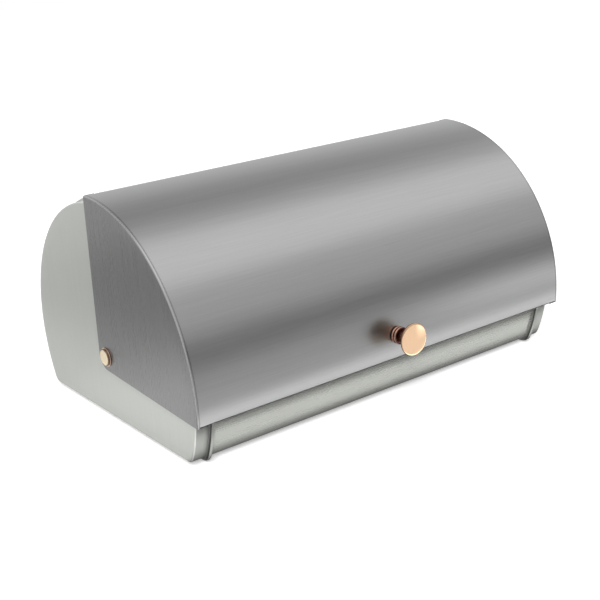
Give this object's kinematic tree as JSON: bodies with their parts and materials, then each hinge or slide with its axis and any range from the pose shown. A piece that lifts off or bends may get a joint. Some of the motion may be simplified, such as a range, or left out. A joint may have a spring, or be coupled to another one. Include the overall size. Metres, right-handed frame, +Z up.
{
  "type": "bread box",
  "caption": "Round-backed sheet-steel bread box with drawn end panels and a curved lid on two pivot screws that swings back over the body.",
  "frame": {"origin": "on the ground plane, in the middle of the box's width and depth, the knob and the seams included", "axes": "+X across the width to the right as seen from the front, +Y to the back, +Z up; the front with the knob faces -Y"},
  "size_m": [0.3908, 0.2838, 0.1925],
  "materials": {
    "panel_steel": "satin stainless steel, fine vertical grain",
    "body_steel": "satin stainless steel, fine grain along the width",
    "lid_steel": "dark brushed steel, grain along the width, semi-gloss",
    "cheek_steel": "dark brushed steel, semi-gloss",
    "foot_rubber": "matt dark grey rubber",
    "buffer_rubber": "matt dark grey rubber",
    "cap_copper": "polished rose-gold plating",
    "ring_copper": "polished rose-gold plating, darker",
    "bush_nylon": "off-white nylon",
    "zinc_hardware": "bright zinc plating",
    "knob_copper": "polished rose-gold plating",
    "collar_copper": "polished rose-gold plating"
  },
  "bodies": {
    "base": {"left_end_panel": "panel_steel", "right_end_panel": "panel_steel", "body_wrap": "body_steel", "front_left_foot": "foot_rubber", "front_right_foot": "foot_rubber", "rear_left_foot": "foot_rubber", "rear_right_foot": "foot_rubber", "left_lip_buffer": "buffer_rubber", "right_lip_buffer": "buffer_rubber", "left_pivot_screw": "cap_copper", "right_pivot_screw": "cap_copper", "left_pivot_ring": "ring_copper", "right_pivot_ring": "ring_copper", "left_pivot_washer": "zinc_hardware", "right_pivot_washer": "zinc_hardware", "left_pivot_nut": "zinc_hardware", "right_pivot_nut": "zinc_hardware"},
    "lid": {"left_pivot_bush": "bush_nylon", "right_pivot_bush": "bush_nylon", "lid_shell": "lid_steel", "left_cheek": "cheek_steel", "right_cheek": "cheek_steel", "knob": "knob_copper", "knob_collar": "collar_copper", "knob_washer": "zinc_hardware", "knob_screw": "zinc_hardware"}
  },
  "joints": [
    {"name": "lid_hinge", "type": "hinge", "parent": "base", "child": "lid", "pos_m": [0, 0.01345, 0.0605], "axis": [-1, 0, 0], "range_deg": [0, 99.9]}
  ]
}
